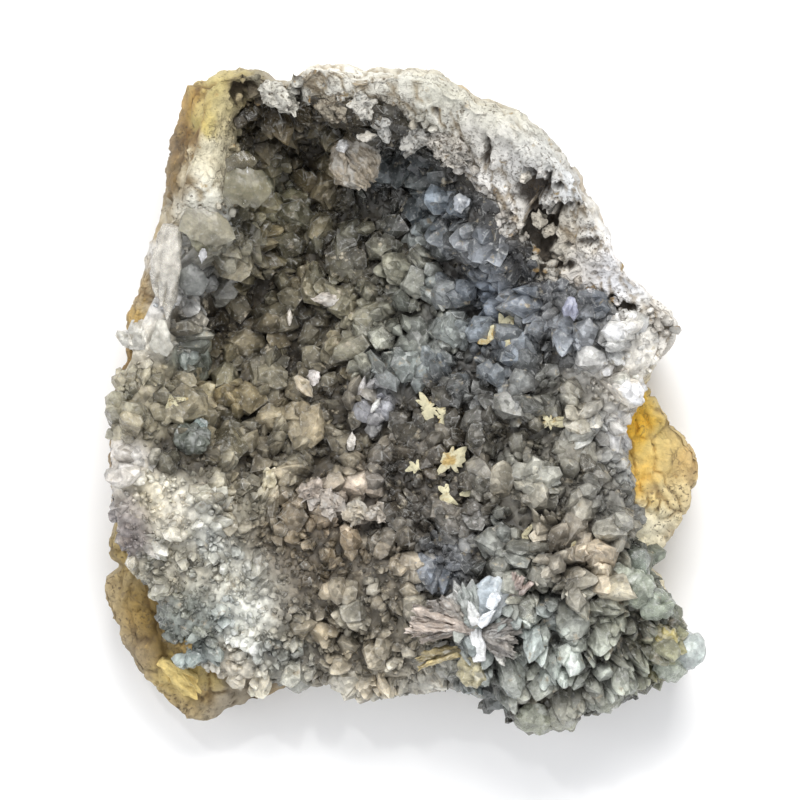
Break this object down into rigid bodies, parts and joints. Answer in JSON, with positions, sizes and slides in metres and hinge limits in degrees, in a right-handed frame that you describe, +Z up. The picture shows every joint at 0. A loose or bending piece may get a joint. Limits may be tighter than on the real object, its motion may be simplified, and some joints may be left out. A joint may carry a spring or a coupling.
{
  "type": "celestite crystal cluster",
  "caption": "Loose mineral specimen: a broken slab of pale rock whose hollow is lined with grey celestite crystals; it lies flat for display.",
  "frame": {"origin": "middle of the specimen's outline, on the flat underside that it rests on", "axes": "+Z up, out of the crystal face; +Y towards the high upper rim along the longest side; +X across the slab"},
  "size_m": [0.1197, 0.135, 0.0456],
  "materials": {
    "host_rock": "rough broken pale limestone with yellow stains",
    "celestite": "translucent grey crystal faces, glassy to satin"
  },
  "bodies": {
    "root": {"host_rock": "host_rock", "celestite_crust": "celestite"}
  },
  "joints": []
}
